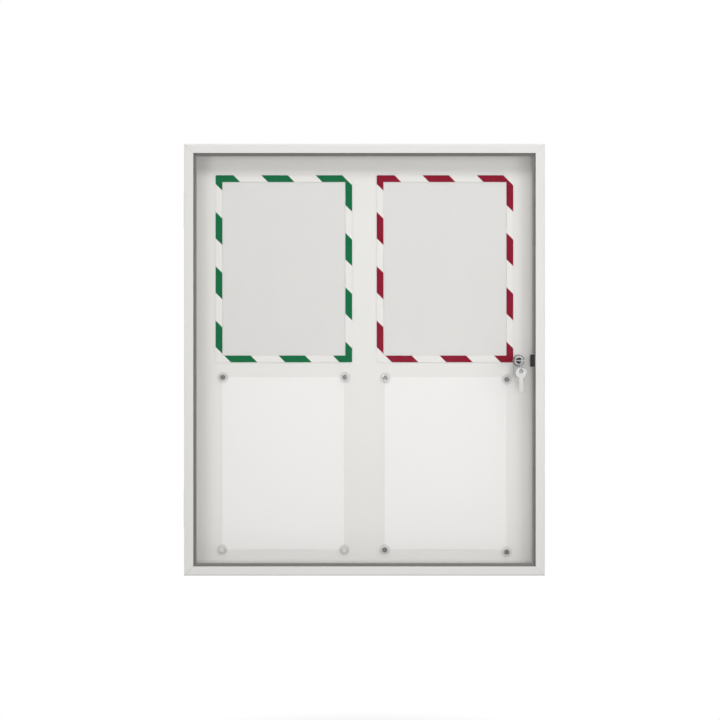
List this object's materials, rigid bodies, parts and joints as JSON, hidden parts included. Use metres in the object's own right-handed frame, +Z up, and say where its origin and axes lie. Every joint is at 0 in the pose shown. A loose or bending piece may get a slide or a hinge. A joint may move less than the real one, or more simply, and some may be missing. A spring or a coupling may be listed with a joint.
{
  "type": "notice board display case",
  "caption": "Wall-hung notice board case: mitred light grey frame, hinged clear door with cam lock and keys, and a magnetic steel back holding sheets under striped frames and magnets.",
  "frame": {"origin": "middle of the case on the wall plane, at the centre of the four wall holes", "axes": "+X to the right seen from the front, +Y into the wall, +Z up; the door faces -Y"},
  "size_m": [0.6125, 0.0753, 0.73],
  "materials": {
    "powder_coat": "light grey satin powder coat, fine texture",
    "mill_aluminium": "mill finish",
    "panel_enamel": "white enamelled steel, satin",
    "seal_foam": "fine closed-cell foam",
    "gasket_rubber": "smooth dark grey rubber",
    "pane_acrylic": "clear polished acrylic",
    "hinge_grey": "light grey satin paint",
    "plated_steel": "bright zinc plate",
    "lock_chrome": "polished chrome plate",
    "key_nickel": "nickel plate with fine handling marks",
    "black_plastic": "moulded black, fine texture",
    "paper": "plain office paper",
    "green_stripe": "printed diagonal stripes, green and white",
    "red_stripe": "printed diagonal stripes, red and white",
    "window_film": "clear matt film",
    "backing_sheet": "pale grey magnetic sheet",
    "magnet_acrylic": "clear moulded acrylic",
    "dark_core": "dark coated magnet",
    "bright_core": "nickel plated magnet"
  },
  "bodies": {
    "case": {"case_frame_top": "powder_coat", "case_frame_bottom": "powder_coat", "case_frame_left": "powder_coat", "case_frame_right": "powder_coat", "case_corner_brackets": "mill_aluminium", "back_panel": "panel_enamel", "dust_seal_top": "seal_foam", "dust_seal_bottom": "seal_foam", "dust_seal_left": "seal_foam", "dust_seal_right": "seal_foam", "lock_catch": "black_plastic", "catch_screw": "plated_steel", "upper_hinge_case_leaf": "hinge_grey", "upper_hinge_pin": "plated_steel", "lower_hinge_case_leaf": "hinge_grey", "lower_hinge_pin": "plated_steel", "hinge_case_screws": "plated_steel", "green_frame_border": "green_stripe", "green_frame_window": "window_film", "green_frame_backing": "backing_sheet", "red_frame_border": "red_stripe", "red_frame_window": "window_film", "red_frame_backing": "backing_sheet", "left_notice_sheet": "paper", "right_notice_sheet": "paper", "clear_magnets": "magnet_acrylic", "dark_magnet_cores": "dark_core", "bright_magnet_cores": "bright_core"},
    "door": {"door_frame_top": "powder_coat", "door_frame_bottom": "powder_coat", "door_frame_left": "powder_coat", "door_frame_right": "powder_coat", "door_corner_keys": "mill_aluminium", "pane": "pane_acrylic", "pane_gasket_top": "gasket_rubber", "pane_gasket_bottom": "gasket_rubber", "pane_gasket_left": "gasket_rubber", "pane_gasket_right": "gasket_rubber", "upper_hinge_door_leaf": "hinge_grey", "lower_hinge_door_leaf": "hinge_grey", "hinge_door_screws": "plated_steel", "lock_housing": "lock_chrome", "lock_washer": "gasket_rubber", "lock_nut": "plated_steel"},
    "lock_plug": {"lock_plug": "lock_chrome", "lock_cam": "plated_steel", "cam_screw": "plated_steel"},
    "key": {"key": "key_nickel"},
    "key_ring": {"key_ring": "plated_steel"},
    "spare_key": {"spare_key": "key_nickel"}
  },
  "joints": [
    {"name": "door_swing", "type": "hinge", "parent": "case", "child": "door", "pos_m": [-0.305, -0.0275, 0], "axis": [0, 0, -1], "range_deg": [0, 120]},
    {"name": "lock_turn", "type": "hinge", "parent": "door", "child": "lock_plug", "pos_m": [0.261, -0.0419, -0.0015], "axis": [0, -1, 0], "range_deg": [0, 90]},
    {"name": "key_slide", "type": "slide", "parent": "lock_plug", "child": "key", "axis": [0, -1, 0], "range_m": [0, 0.02]},
    {"name": "ring_turn", "type": "hinge", "parent": "key", "child": "key_ring", "pos_m": [0.261, -0.0655, -0.00779], "axis": [1, 0, 0], "range_deg": [-45, 18]},
    {"name": "spare_key_swing", "type": "hinge", "parent": "key_ring", "child": "spare_key", "pos_m": [0.261, -0.0655, -0.01919], "axis": [0, -1, 0], "range_deg": [-30, 30]}
  ]
}
